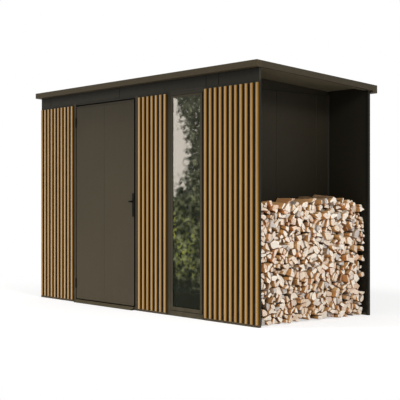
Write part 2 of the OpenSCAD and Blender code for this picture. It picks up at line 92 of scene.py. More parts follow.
class Tree:
    """A material's or the world's node tree, with short calls to build it. Functions call it t."""

    def __init__(self, owner):
        owner.use_nodes = True
        self.owner = owner
        self.nodes = owner.node_tree.nodes
        self.links = owner.node_tree.links
        self.coords = None
        self.nodes.clear()

    def node(self, kind, inputs=None, **settings):
        made = self.nodes.new("ShaderNode" + kind)
        for name, value in settings.items():
            setattr(made, name, value)
        for name, value in (inputs or {}).items():
            self.put(made.inputs[name], value)
        return made

    def put(self, socket, value):
        """Links an output to a socket, or sets the socket's own value."""
        if isinstance(value, bpy.types.NodeSocket):
            self.links.new(value, socket)
        else:
            socket.default_value = value

    def object_coords(self):
        if self.coords is None:
            self.coords = self.node("TexCoord").outputs["Object"]
        return self.coords

    def normal(self):
        return self.node("NewGeometry").outputs["Normal"]

    def axis(self, which, source=None):
        """One component, X, Y or Z, of the object coordinates or of another vector."""
        split = self.node("SeparateXYZ", {"Vector": source or self.object_coords()})
        return split.outputs[which]

    def mapped(self, scale, offset=(0, 0, 0), source=None):
        made = self.node("Mapping", {"Vector": source or self.object_coords(),
                                     "Location": offset, "Scale": scale})
        return made.outputs[0]

    def noise(self, scale, detail=3.0, stretch=None, rough=0.5, distort=0.0, offset=(0, 0, 0),
              source=None):
        """A noise from 0 to 1. stretch scales the coordinates first."""
        vector = source or self.object_coords()
        if stretch or offset != (0, 0, 0):
            vector = self.mapped(stretch or (1, 1, 1), offset, vector)
        made = self.node("TexNoise", {"Vector": vector, "Scale": scale, "Detail": detail,
                                      "Roughness": rough, "Distortion": distort})
        return made.outputs["Fac"]

    def math(self, operation, a, b=0.0, clamp=False):
        made = self.node("Math", operation=operation, use_clamp=clamp)
        for socket, value in zip(made.inputs, (a, b)):
            self.put(socket, value)
        return made.outputs[0]

    def add(self, a, b):
        return self.math("ADD", a, b)

    def subtract(self, a, b):
        return self.math("SUBTRACT", a, b)

    def multiply(self, a, b):
        return self.math("MULTIPLY", a, b)

    def divide(self, a, b):
        return self.math("DIVIDE", a, b)

    def vector_math(self, operation, a, b=(0, 0, 0), out="Vector"):
        return self.node("VectorMath", {0: a, 1: b}, operation=operation).outputs[out]

    def span(self, value, low, high, to_low=0.0, to_high=1.0, smooth=False):
        """value's range from low to high as to_low to to_high, clamped."""
        made = self.node("MapRange", {"Value": value, "From Min": low, "From Max": high,
                                      "To Min": to_low, "To Max": to_high})
        made.clamp = True
        if smooth:
            made.interpolation_type = "SMOOTHSTEP"
        return made.outputs[0]

    def ramp(self, value, stops):
        made = self.node("ValToRGB", {"Fac": value})
        elements = made.color_ramp.elements
        while len(elements) < len(stops):
            elements.new(0.5)
        for element, (place, colour) in zip(elements, stops):
            element.position = place
            element.color = colour
        return made.outputs["Color"]

    def blend(self, fac, a, b, how="MIX"):
        """Colours a and b mixed by fac."""
        made = self.node("Mix", data_type="RGBA", blend_type=how)
        self.put(made.inputs[0], fac)
        self.put(made.inputs[6], a)
        self.put(made.inputs[7], b)
        return made.outputs[2]

    def shaded(self, colour, share):
        """A colour with red, green and blue all multiplied by share."""
        grey = self.node("CombineColor", {0: share, 1: share, 2: share}).outputs[0]
        return self.blend(1.0, colour, grey, "MULTIPLY")

    def bump(self, height, distance, strength=1.0, normal=None):
        made = self.node("Bump", {"Height": height, "Distance": distance, "Strength": strength})
        if normal:
            self.put(made.inputs["Normal"], normal)
        return made.outputs[0]

    def surface(self, colour, rough, normal=None, **values):
        """The Principled shader and the output. values are its other inputs, spaces written as _."""
        shader = self.node("BsdfPrincipled", {"Base Color": colour, "Roughness": rough})
        if normal:
            self.put(shader.inputs["Normal"], normal)
        for name, value in values.items():
            self.put(shader.inputs[name.replace("_", " ")], value)
        self.node("OutputMaterial", {"Surface": shader.outputs[0]})


def new_material(name):
    return Tree(bpy.data.materials.new(name))


# ----- materials of the building

EAVE_SHADE = ("Z", 1.0, 2.05, 0.72)  # one of coated_steel's fades: painted shade under the eave
GROOVE_SHADE_DEPTH = 0.003  # depth of the painted shade in the grooves beside a face
JAMB_SHADE = 0.03  # depth of the dark zone at the door jambs
DUST_TOP = 0.35  # height of the dust from the ground
# the colour towards which coated_steel's fades paint shade
BLACK = (0, 0, 0, 1)
# the colour of the painted shade in recesses, in gaps and on ends, and of the fine dark joints
SHADE_AND_JOINT_DARK = linear(9, 9, 7)
DUST = linear(128, 116, 96)
OLIVE = linear(68, 61, 46)
INNER = linear(35, 32, 25)
# painted light: the roof's and the beam's undersides, paler than their tops, stand for light bounced up
# from the floor and the logs
LIT_CEILING = linear(98, 90, 72)

SLAT_PITCH = 0.065
SLAT_DEPTH = 0.014
# the faces' colours of the left, middle and right slat groups: the paler groups on the left paint the
# stronger light there
SLAT_PALE = linear(179, 152, 117)
SLAT_MID = linear(171, 143, 104)
SLAT_FRONT = linear(167, 137, 95)
# painted shade: the amber of each face's right edge, the deeper amber of the sides, which also tints the
# grain's figure, and the dark at the sides' foot by the panel behind
SLAT_EDGE_SHADE = linear(130, 88, 16)
SLAT_GRAIN_AND_SIDE_SHADE = linear(128, 85, 5)
SLAT_ROOT_SHADE = linear(22, 18, 7)

GLASS_IOR = 1.6

LEAF_LOW, LEAF_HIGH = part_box("door_leaf")
LEAF_MIDDLE = (LEAF_LOW.x + LEAF_HIGH.x) / 2
LEAF_TOP_SHADE_Z = LEAF_HIGH.z - 0.026  # lower edge of the painted shade along the leaf's top, under the door head


def face_y(node):
    """The front face of a CAD node, in the node's own coordinates."""
    return min(v.co.y for v in NODES[node].data.vertices)


def coated_steel(name, colour, inside=None, inside_axis=None, dust=0.25, shaded_recess=None, seal=None,
                 shaded_ends=False, shade_fades=(), joints=()):
    """Powder-coated sheet steel: slow shade changes, rain streaks, dust near the ground, a fine
    texture and slight waves. inside is the colour of what faces along inside_axis. sunk is (node,
    depth): painted shade darkens what lies behind the node's front face, as far as the depth. seal
    is a node behind whose face the edges are painted black, as shade in the gaps. shaded_ends paints
    shade on the ends along X. Each of fades, painted shade for sheltered zones, is (axis, start, end,
    share left), and each of joints, a fine dark line, is (axis, where, half its width, how dark)."""
    t = new_material(name)
    normal = t.normal()
    cloud = t.noise(1.3, 3, offset=(7, 3, 1))
    mottle = t.noise(26, 4, rough=0.6)
    streak = t.noise(9, 4, stretch=(3.0, 3.0, 0.12), rough=0.55)
    shade = t.add(t.span(cloud, 0.25, 0.75, 0.94, 1.06), t.span(mottle, 0.2, 0.8, -0.03, 0.03))
    shade = t.add(shade, t.span(streak, 0.3, 0.7, -0.025, 0.025))
    base = t.shaded(colour, shade)
    low = t.span(t.axis("Z"), 0.0, DUST_TOP, 1.0, 0.0, smooth=True)
    dusty = t.multiply(low, t.span(t.noise(14, 5, rough=0.65), 0.35, 0.75, 0.0, dust))
    base = t.blend(dusty, base, DUST)
    rough = t.add(t.span(mottle, 0.2, 0.8, 0.50, 0.62), t.multiply(dusty, 0.5))
    # painted shade: each fade darkens its zone towards black
    for along, start, end, left in shade_fades:
        shade_fade = t.span(t.axis(along), start, end, 0.0, 1.0 - left, smooth=True)
        base = t.blend(shade_fade, base, BLACK)
    # painted shade in the recess behind the node's front face
    if shaded_recess:
        at, depth = face_y(shaded_recess[0]), shaded_recess[1]
        behind = t.multiply(t.span(t.axis("Y"), at + 0.0004, at + 0.0012),
                            t.span(t.axis("Y"), at + depth, at + depth * 1.3, 1.0, 0.0))
        base = t.blend(t.multiply(behind, t.span(mottle, 0.2, 0.8, 0.85, 0.95)), base, SHADE_AND_JOINT_DARK)
    # painted shade: the edges behind this node's front face, in the gaps, are painted black
    if seal:
        edge = t.span(t.math("ABSOLUTE", t.axis("Y", normal)), 0.3, 0.6, 0.95, 0.0)
        behind = t.span(t.axis("Y"), face_y(seal) + 0.001, face_y(seal) + 0.002)
        base = t.blend(t.multiply(edge, behind), base, SHADE_AND_JOINT_DARK)
    # painted shade: the ends along X are darkened
    if shaded_ends:
        end = t.span(t.math("ABSOLUTE", t.axis("X", normal)), 0.6, 0.8, 0.0, 0.95)
        base = t.blend(end, base, SHADE_AND_JOINT_DARK)
    for along, at, half, dark in joints:
        off = t.math("ABSOLUTE", t.subtract(t.axis(along), at))
        base = t.blend(t.span(off, half * 0.6, half * 1.4, dark, 0.0), base, SHADE_AND_JOINT_DARK)
    if inside:
        turned = t.axis(inside_axis[1], normal)
        if inside_axis[0] == "-":
            turned = t.multiply(turned, -1.0)
        base = t.blend(t.span(turned, 0.4, 0.6), base, t.shaded(inside, shade))
    waves = t.noise(2.2, 2, stretch=(1, 1, 0.35))
    coat = t.noise(950, 2)
    bumped = t.bump(coat, 0.00012, 0.5, t.bump(waves, 0.0025, 0.35))
    t.surface(base, rough, bumped, Specular_IOR_Level=0.12)
    return t.owner


def slat_wood(node, front):
    """Wood-look slats: each has its own shade, long grain, fine pores and a satin coat.
    In painted shade, the sides hold a deeper amber than the faces, browner towards the panel
    behind, each face turns amber at its right edge, and the slats darken towards the top."""
    t = new_material(node + "_wood")
    face = face_y(node)
    along = t.subtract(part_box(node)[1].x, t.axis("X"))
    number = t.math("FLOOR", t.add(t.divide(along, SLAT_PITCH), 0.1))
    own = t.node("TexWhiteNoise", {"W": number}, noise_dimensions="1D").outputs["Value"]
    shift = t.node("CombineXYZ", {"X": t.multiply(number, 3.7), "Y": 0.0, "Z": t.multiply(own, 9.0)})
    place = t.vector_math("ADD", t.object_coords(), shift.outputs[0])
    figure = t.noise(30, 4, stretch=(1, 1, 0.06), rough=0.55, distort=0.6, source=place)
    fibre = t.noise(260, 5, stretch=(1, 1, 0.035), rough=0.6, source=place)
    pores = t.noise(900, 2, stretch=(1, 1, 0.05), source=place)
    blotch = t.noise(3.5, 2, stretch=(1, 1, 0.5), source=place)
    sideways = t.math("ABSOLUTE", t.axis("X", t.normal()))
    # painted shade: the sides turn a deeper amber than the faces, darkening towards the panel behind
    root = t.span(t.axis("Y"), face + 0.001, face + SLAT_DEPTH, smooth=True)
    side = t.blend(root, SLAT_GRAIN_AND_SIDE_SHADE, SLAT_ROOT_SHADE)
    across = t.subtract(along, t.multiply(number, SLAT_PITCH))
    # painted shade: each face turns amber towards its right edge
    front = t.blend(t.span(across, 0.001, 0.014, 0.85, 0.0, smooth=True), front, SLAT_EDGE_SHADE)
    base = t.blend(t.span(sideways, 0.55, 0.85), front, side)
    shade = t.add(t.span(own, 0, 1, 0.93, 1.07), t.span(figure, 0.3, 0.7, -0.07, 0.07))
    # the last change, along Z, is painted light and shade: lighter near the ground, darker towards the top
    for change in (t.span(fibre, 0.3, 0.7, -0.06, 0.05), t.span(blotch, 0.3, 0.7, -0.05, 0.05),
                   t.span(pores, 0.62, 0.75, 0.0, -0.10), t.span(t.axis("Z"), 0.1, 2.0, 0.06, -0.09)):
        shade = t.add(shade, change)
    base = t.shaded(base, shade)
    base = t.blend(t.span(figure, 0.5, 0.75, 0.0, 0.14), base, times(SLAT_GRAIN_AND_SIDE_SHADE, 0.9))
    bumped = t.bump(pores, 0.00005, 0.2, t.bump(fibre, 0.00012, 0.3))
    t.surface(base, t.span(fibre, 0.3, 0.7, 0.48, 0.62), bumped, Specular_IOR_Level=0.1)
    return t.owner


def board(name, colour):
    """A plain floor board: strand texture, scuffs and dust."""
    t = new_material(name)
    strands = t.node("TexVoronoi", {"Vector": t.mapped((1.0, 2.6, 1.0)), "Scale": 34.0, "Randomness": 1.0})
    grain = t.noise(120, 4, stretch=(0.25, 1.0, 1.0), rough=0.6)
    cloud = t.noise(2.2, 3)
    scuff = t.noise(11, 6, rough=0.7, distort=1.2)
    base = t.blend(t.span(grain, 0.3, 0.7), times(colour, 0.8), times(colour, 1.15))
    base = t.blend(0.22, base, strands.outputs["Color"], "OVERLAY")
    base = t.blend(t.span(scuff, 0.58, 0.72, 0.0, 0.35), base, times(colour, 0.55))
    base = t.blend(t.span(cloud, 0.3, 0.8, 0.0, 0.25), base, linear(140, 128, 108))
    normal = t.bump(strands.outputs["Distance"], 0.0006, 0.4)
    normal = t.bump(grain, 0.0004, 0.5, normal)
    t.surface(base, t.span(cloud, 0.2, 0.8, 0.7, 0.85), normal, Specular_IOR_Level=0.25)
    return t.owner


def tinted_glass(name):
    """Dark tinted window glass with a faint film of dust and dried drops."""
    t = new_material(name)
    film = t.noise(5, 4, stretch=(1, 1, 0.6))
    drops = t.node("TexVoronoi", {"Vector": t.object_coords(), "Scale": 190.0}).outputs["Distance"]
    spots = t.multiply(t.span(drops, 0.10, 0.16, 1.0, 0.0), t.span(t.noise(8, 2), 0.55, 0.7))
    base = t.blend(t.span(film, 0.3, 0.8), (0.20, 0.23, 0.175, 1), (0.25, 0.275, 0.215, 1))
    rough = t.add(t.span(film, 0.4, 0.8, 0.008, 0.03), t.multiply(spots, 0.08))
    wave = t.noise(3.5, 1, stretch=(1, 1, 0.4))
    t.surface(base, rough, t.bump(wave, 0.0006, 0.25), IOR=GLASS_IOR, Transmission_Weight=1.0)
    return t.owner


def rubber(name):
    t = new_material(name)
    fine = t.noise(600, 3)
    cloud = t.noise(20, 3)
    base = t.blend(t.span(cloud, 0.3, 0.7), linear(9, 9, 8), linear(17, 16, 14))
    t.surface(base, t.span(fine, 0.3, 0.7, 0.65, 0.8), t.bump(fine, 0.0002, 0.4), Specular_IOR_Level=0.06)
    return t.owner


def black_coat(name, colour, worn_colour, specular):
    """Satin black hardware: a fine textured coat, worn lighter where hands and screws touch."""
    t = new_material(name)
    fine = t.noise(1400, 2)
    worn = t.noise(75, 5, rough=0.65)
    base = t.blend(t.span(worn, 0.58, 0.75, 0.0, 0.6), colour, worn_colour)
    t.surface(base, t.span(worn, 0.3, 0.7, 0.52, 0.68), t.bump(fine, 0.00008, 0.5),
              Specular_IOR_Level=specular)
    return t.owner


# painted shade on the door: darker towards the top and under the eave, a darker band along the top under
# the door head, and black edges and recesses in the gaps
DOOR = coated_steel("door_coat", linear(69.5, 62, 47), dust=0.1, shaded_recess=("door_leaf", GROOVE_SHADE_DEPTH),
                    seal="door_leaf",
                    shade_fades=[("Z", 0.1, 2.2, 0.70), ("Z", 1.6, 2.1, 0.74),
                           ("Z", LEAF_TOP_SHADE_Z, LEAF_TOP_SHADE_Z + 0.002, 0.82)],
                    joints=[("X", LEAF_MIDDLE, 0.0010, 0.5)])
JAMB = coated_steel("jamb_coat", linear(63, 56, 42), shaded_recess=("door_jamb_left", JAMB_SHADE),
                    shade_fades=[EAVE_SHADE])
# a darker copy of the jamb coat for the right jamb: painted shade
JAMB_RIGHT = coated_steel("right_jamb_coat", linear(56, 50, 38), shaded_recess=("door_jamb_right", JAMB_SHADE),
                          shade_fades=[EAVE_SHADE])
# darker than the jambs of the same frame: painted shade under the header
HEAD = coated_steel("head_coat", linear(36, 33, 26), shaded_recess=("door_head", GROOVE_SHADE_DEPTH), seal="door_head")
FRAME = coated_steel("window_frame_coat", linear(63.5, 58, 44.5), shaded_recess=("window_frame", GROOVE_SHADE_DEPTH),
                     shade_fades=[EAVE_SHADE])
# painted shade: darker towards the top and towards the slats beside it
WINDOW_JAMB = coated_steel("window_jamb_coat", linear(63, 57, 44), shaded_recess=("window_jamb", GROOVE_SHADE_DEPTH),
                           shade_fades=[EAVE_SHADE, ("Z", 1.8, 2.04, 0.55),
                                  ("X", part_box("window_jamb")[1].x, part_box("window_jamb")[0].x, 0.45)])
# darker than the window frame: painted shade under the header
WINDOW_HEAD = coated_steel("window_head_coat", linear(42, 39, 31), shaded_recess=("window_head", GROOVE_SHADE_DEPTH))
PANEL = coated_steel("panel_coat", linear(27, 27, 22))
# the front's colour is darkened to paint the shade under the roof's overhang, and the fades paint more
# shade under the trim and towards the right
HEADER = coated_steel("header_coat", linear(37, 34, 25.5), shaded_recess=("front_header", GROOVE_SHADE_DEPTH),
                      inside=linear(48, 45, 36), inside_axis="+X",
                      shade_fades=[("Z", 2.06, 2.16, 0.45), ("X", -0.6, 1.1, 0.80)])
TRIM = coated_steel("trim_coat", linear(62, 54, 39))
# a darker copy of the trim coat for the end that faces +X: painted shade
TRIM_END = coated_steel("end_trim_coat", linear(57, 51, 39))
# darker than the frame beside it: painted shade beside the slats, with more under the eave
POST = coated_steel("window_post_coat", linear(40, 37, 28), shade_fades=[EAVE_SHADE])
BASE = coated_steel("base_coat", linear(64, 56, 42), dust=0.3)
# the ramp's ends are painted dark, as the shade inside its hollow end
RAMP = coated_steel("ramp_coat", linear(72, 65, 48), dust=0.15, shaded_ends=True)
ROOF = coated_steel("roof_coat", linear(60, 55, 44), inside=LIT_CEILING, inside_axis="-Z")
WALL_Y = coated_steel("rear_wall_coat", OLIVE, inside=INNER, inside_axis="-Y")
WALL_X = coated_steel("left_wall_coat", OLIVE, inside=INNER, inside_axis="+X")
# the fade paints shade, darker towards the bottom
PARTITION = coated_steel("partition_coat", linear(43, 39, 30), shade_fades=[("Z", 1.95, 1.0, 0.58)],
                         joints=[("Z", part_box("partition_gable")[0].z, 0.0023, 0.75),
                                 ("Y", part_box("partition_wall")[1].y, 0.008, 0.85)])
STORE_POST = coated_steel("store_post_coat", linear(34, 32, 26))
REAR_POST = coated_steel("rear_post_coat", linear(26, 25, 20))
BEAM = coated_steel("store_beam_coat", linear(60, 54, 43), inside=LIT_CEILING, inside_axis="-Z")
HINGE_BLACK = black_coat("hinge_black", linear(9, 9, 8), linear(26, 24, 21), 0.03)
HANDLE_BLACK = black_coat("handle_black", linear(16, 15, 13), linear(42, 39, 34), 0.08)
GLASS = tinted_glass("window_tint")
RUBBER = rubber("seal_rubber")
FLOOR_BOARD = board("floor_board", linear(150, 124, 88))

MATERIAL_NODES = [
    (BASE, "base_rail_front base_rail_rear base_rail_left base_rail_partition door_threshold"),
    (FLOOR_BOARD, "shed_floor"),
    (PANEL, "front_panel_left front_panel_middle front_panel_right"),
    (HEADER, "front_header"),
    (JAMB, "door_jamb_left"), (JAMB_RIGHT, "door_jamb_right"), (HEAD, "door_head"), (RAMP, "door_ramp"),
    (POST, "window_post"), (WINDOW_JAMB, "window_jamb"), (WINDOW_HEAD, "window_head"),
    (FRAME, "window_sill window_frame"), (GLASS, "window_glass"),
    (WALL_X, "left_wall left_gable"),
    (WALL_Y, "rear_wall rear_header"),
    (PARTITION, "partition_wall partition_gable"),
    (STORE_POST, "store_front_post store_corner_trim"), (REAR_POST, "store_rear_post"),
    (BEAM, "store_edge_beam"), (ROOF, "roof_panel"), (TRIM_END, "roof_trim_right"),
    (TRIM, "roof_trim_front roof_trim_left roof_trim_rear"),
    (DOOR, "door_leaf"),
    (HINGE_BLACK, "hinge_frame_leaves hinge_pins hinge_door_leaves"),
    (HANDLE_BLACK, "handle_plate lever_handle"),
]
for slats, front in (("slats_left", SLAT_PALE), ("slats_middle", SLAT_MID), ("slats_right", SLAT_FRONT)):
    MATERIAL_NODES.append((slat_wood(slats, front), slats))

for material, names in MATERIAL_NODES:
    for name in names.split():
        shown = NODES[name]
        if not shown.material_slots:
            shown.data.materials.append(material)
        for held in shown.material_slots:
            held.material = material

# ----- mesh helpers


def mesh_object(name, verts, faces, materials, indices=None, sharp_deg=None):
    """A mesh object from points and faces. Edges sharper than sharp_deg stay sharp."""
    mesh = bpy.data.meshes.new(name)
    mesh.from_pydata(verts, [], faces)
    for m in materials:
        mesh.materials.append(m)
    if indices is not None:
        mesh.polygons.foreach_set("material_index", indices)
    mesh.update()
    if sharp_deg:
        mesh.shade_smooth()
        mesh.set_sharp_from_angle(angle=math.radians(sharp_deg))
    return new_object(name, mesh)


# ----- firewood

LOG_SEED = 205
ROUND_SPACING = 0.073  # mean distance between the rounds that the logs were split from
ROUND_STRAY = 0.36  # how far a round strays from its place, as a share of the spacing
HEADROOM = 0.15  # how far the rounds go on over the stack
WAVE_TOP = 0.022  # how much the top of the stack rises and falls
CUT_SHARES = (0.14, 0.56, 0.92)  # shares of the rounds with no cut, at most one and at most two
OFF_CENTRE = 0.006  # how far a cut passes from a round's middle
SMALLEST_ROUND = 0.0004  # least areas of a round's and of a log's end
SMALLEST_LOG = 0.00022
GAP = (0.0004, 0.0030)  # how far a log's sides stand back, usually and at some logs
WIDE_GAP = (0.004, 0.008)
CORNER = 0.0022  # how far a log's corners are cut back
SIDE_STEP = 0.016  # distance between the points along a log's sides
BARK_BULGE = 0.10  # rise of a bark side, as a share of its length
BARK_SHARE = 0.38  # share of the logs with a bark side
GREY_SHARE = 0.08  # share of the logs with weathered ends
END_TILT = 0.16  # how unevenly the ends are sawn
END_ZONE = 0.01  # depth of a log's end, within which it follows the saw cut
SECTIONS = (0.0, 0.0020, 0.024, 0.06, 0.11)  # depths at which a log's outline is repeated

STACK_LOW, STACK_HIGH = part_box("firewood_stack")
BACK, FRONT = STACK_LOW.x + 0.004, STACK_HIGH.x
ROW_DEPTH = (FRONT - BACK) / 2
NEAR_Y, FAR_Y = STACK_LOW.y + 0.001, STACK_HIGH.y + 0.026
FOOT_Z, TOP_Z = 0.002, STACK_HIGH.z
LEAST_Y, MOST_Y, LEAST_Z = STACK_LOW.y + 0.0005, STACK_HIGH.y + 0.030, 0.0015  # no log passes these


def sides_of(poly):
    """A polygon's sides, each as its two end points."""
    return zip(poly, poly[1:] + poly[:1])


def clipped(poly, nx, ny, limit):
    """The part of a convex polygon where nx*x + ny*y <= limit."""
    kept = []
    for (ax, ay), (bx, by) in sides_of(poly):
        da, db = nx * ax + ny * ay - limit, nx * bx + ny * by - limit
        if da <= 0:
            kept.append((ax, ay))
        if (da < 0 < db) or (db < 0 < da):
            k = da / (da - db)
            kept.append((ax + k * (bx - ax), ay + k * (by - ay)))
    return kept


def area_centre(poly):
    """(area, centroid) of a polygon."""
    total = cx = cy = 0.0
    for (ax, ay), (bx, by) in sides_of(poly):
        w = ax * by - bx * ay
        total += w
        cx += (ax + bx) * w
        cy += (ay + by) * w
    if abs(total) < 1e-12:
        return 0.0, poly[0]
    return abs(total) / 2, (cx / (3 * total), cy / (3 * total))


def halves(poly, point, angle):
    """The two parts of a polygon on either side of a line through a point."""
    nx, ny = math.cos(angle), math.sin(angle)
    limit = nx * point[0] + ny * point[1]
    return clipped(poly, nx, ny, limit), clipped(poly, -nx, -ny, -limit)


def roundness(poly):
    """How compact a polygon is: its area against its outline's length."""
    if len(poly) < 3:
        return 0.0
    around = sum(math.dist(poly[i - 1], poly[i]) for i in range(len(poly)))
    return area_centre(poly)[0] / around ** 2


def without_short_edges(poly, shortest):
    """Merges the ends of each short edge."""
    poly = list(poly)
    while len(poly) > 3:
        lengths = [math.dist(*side) for side in sides_of(poly)]
        i = min(range(len(poly)), key=lengths.__getitem__)
        if lengths[i] >= shortest:
            break
        j = (i + 1) % len(poly)
        middle = ((poly[i][0] + poly[j][0]) / 2, (poly[i][1] + poly[j][1]) / 2)
        poly[i] = middle
        del poly[j]
    return poly


def inset(poly, gap):
    """A convex polygon with each side moved in by gap."""
    made = list(poly)
    for (ax, ay), (bx, by) in sides_of(poly):
        length = math.dist((ax, ay), (bx, by))
        if length < 1e-6:
            continue
        nx, ny = (by - ay) / length, (ax - bx) / length
        made = clipped(made, nx, ny, nx * ax + ny * ay - gap)
        if len(made) < 3:
            return []
    return made


def round_sites(rng):
    """Middles of the rounds, in staggered rows over the stack's cross-section."""
    step_z = ROUND_SPACING * math.sqrt(3) / 2
    sites = []
    row = 0
    z = FOOT_Z - step_z / 2
    while z < TOP_Z + 2.5 * step_z:
        y = NEAR_Y - ROUND_SPACING + (row % 2) * ROUND_SPACING / 2
        while y < FAR_Y + ROUND_SPACING:
            sites.append((y + rng.uniform(-ROUND_STRAY, ROUND_STRAY) * ROUND_SPACING,
                          z + rng.uniform(-ROUND_STRAY, ROUND_STRAY) * step_z))
            y += ROUND_SPACING
        z += step_z
        row += 1
    return sites


def round_cell(sites, i):
    """What lies nearer to one round's middle than to any other."""
    sy, sz = sites[i]
    above = TOP_Z + HEADROOM
    cell = [(NEAR_Y, FOOT_Z), (FAR_Y, FOOT_Z), (FAR_Y, above), (NEAR_Y, above)]
    for j, (oy, oz) in enumerate(sites):
        dy, dz = oy - sy, oz - sz
        if i == j or dy * dy + dz * dz > (3 * ROUND_SPACING) ** 2:
            continue
        cell = clipped(cell, dy, dz, (oy * oy + oz * oz - sy * sy - sz * sz) / 2)
        if len(cell) < 3:
            break
    return cell


def split_outlines(rng):
    """End outlines of split logs, from rounds cut up to three times."""
    sites = round_sites(rng)
    outlines = []
    for i in range(len(sites)):
        cell = round_cell(sites, i)
        if len(cell) < 3 or area_centre(cell)[0] < SMALLEST_ROUND:
            continue
        pieces = [cell]
        draw = rng.random()
        for _ in range(sum(draw >= share for share in CUT_SHARES)):
            pieces.sort(key=lambda p: -area_centre(p)[0])
            big = pieces.pop(0)
            y, z = area_centre(big)[1]
            point = (y + rng.gauss(0, OFF_CENTRE), z + rng.gauss(0, OFF_CENTRE))
            tries = [halves(big, point, rng.uniform(0, math.pi)) for _ in range(3)]
            best = max(tries, key=lambda pair: min(roundness(p) for p in pair))
            pieces += [p for p in best if len(p) > 2]
        outlines += pieces
    return outlines


def log_outline(rng, poly, bark_side):
    """The outline's points with its corners cut and uneven sides, and each point's side."""
    points, sides = [], []
    for i, ((ax, ay), (bx, by)) in enumerate(sides_of(poly)):
        length = math.dist((ax, ay), (bx, by))
        tx, ty = (bx - ax) / length, (by - ay) / length
        nx, ny = ty, -tx
        corner = min(CORNER, length * 0.2)
        steps = max(1, round(length / SIDE_STEP))
        for k in range(steps + 1):
            along = corner + (length - 2 * corner) * k / steps
            if i == bark_side:
                out = BARK_BULGE * length * 4 * (along / length) * (1 - along / length)
            else:
                out = rng.uniform(-0.0011, 0.0009) if 0 < k < steps else 0.0
            points.append((ax + tx * along + nx * out, ay + ty * along + ny * out))
            sides.append(i if k < steps else -1)
    return points, sides


def log_shape(rng, poly):
    """A log's shape as (middle, points about it, side of each point, bark side, pith), or None."""
    poly = without_short_edges(poly, 0.011)
    gap = rng.uniform(*(GAP if rng.random() > 0.2 else WIDE_GAP))
    poly = inset(poly, gap)
    if len(poly) < 3 or area_centre(poly)[0] < SMALLEST_LOG:
        return None
    cy, cz = area_centre(poly)[1]
    turn = rng.gauss(0, 0.24)
    size = rng.uniform(0.90, 1.0)
    c, s = math.cos(turn) * size, math.sin(turn) * size
    poly = [((y - cy) * c - (z - cz) * s, (y - cy) * s + (z - cz) * c) for y, z in poly]
    lengths = [math.dist(*side) for side in sides_of(poly)]
    bark_side = lengths.index(max(lengths)) if rng.random() < BARK_SHARE else None
    if bark_side is not None:
        corner = poly[(bark_side + 2) % len(poly)]
        reach = 1.15
    else:
        corner = rng.choice(poly)
        reach = rng.uniform(0.2, 1.3)
    outline, sides = log_outline(rng, poly, bark_side)
    return (cy, cz), outline, sides, bark_side, (corner[0] * reach, corner[1] * reach)


def add_log(rng, group, shape, end_x, length, yaw, pitch):
    """Adds one log to a group's lists. yaw and pitch turn its axis off the X axis. The material
    indices are 0 for the ends, 1 for split sides and 2 for bark."""
    (cy, cz), outline, sides, bark_side, pith = shape
    verts, faces, index, tones, piths = group
    n = len(outline)
    first = len(verts)
    slope_y, slope_z = rng.gauss(0, END_TILT) + yaw, rng.gauss(0, END_TILT) + pitch
    depths = [d for d in SECTIONS if d < length - 0.03] + [length]
    for depth in depths:
        size = 0.955 if depth == 0.0 else 1.0 if depth < END_ZONE else 1 + rng.gauss(0, 0.014)
        rough = 0.0 if depth < END_ZONE else 0.0009
        for oy, oz in outline:
            ry = oy * size + rng.uniform(-rough, rough)
            rz = oz * size + rng.uniform(-rough, rough)
            x = end_x - depth
            if depth < END_ZONE:
                x += ry * slope_y + rz * slope_z
            y = min(max(cy + ry - yaw * depth, LEAST_Y), MOST_Y)
            verts.append((x, y, max(cz + rz - pitch * depth, LEAST_Z)))
    for r in range(len(depths) - 1):
        for k in range(n):
            a, b = first + r * n + k, first + r * n + (k + 1) % n
            faces.append((a, b, b + n, a + n))
            index.append(2 if bark_side is not None and sides[k] == bark_side else 1)
    ring = len(verts)
    for oy, oz in outline:
        ry, rz = oy * 0.5, oz * 0.5
        x = end_x + ry * slope_y + rz * slope_z + rng.uniform(-0.0018, 0.0022)
        verts.append((x, cy + ry, cz + rz))
    verts.append((end_x + rng.uniform(-0.0015, 0.0045), cy, cz))
    for k in range(n):
        j = (k + 1) % n
        faces.append((first + k, ring + k, ring + j, first + j))
        faces.append((ring + k, ring + n, ring + j))
        index += [0, 0]
    last = first + (len(depths) - 1) * n
    faces.append(tuple(last + k for k in range(n)))
    index.append(0)
    new = len(verts) - first
    tones += [(rng.random(), float(rng.random() < GREY_SHARE), rng.random(), 1.0)] * new
    piths += [(0.0, cy + pith[0], cz + pith[1])] * new


def top_at(y):
    """The height of the stack's uneven top."""
    wave = 0.6 * math.sin(y * 5.1 + 0.8) + 0.5 * math.sin(y * 23.7 + 2.0)
    return TOP_Z - 0.034 + 0.024 * (y - NEAR_Y) / (FAR_Y - NEAR_Y) + WAVE_TOP * wave


def side_at(z):
    """The Y of the stack's uneven side by the rear wall."""
    return FAR_Y - 0.016 + 0.026 * math.sin(z * 4.2 - 1.75) + 0.012 * math.sin(z * 19.0)


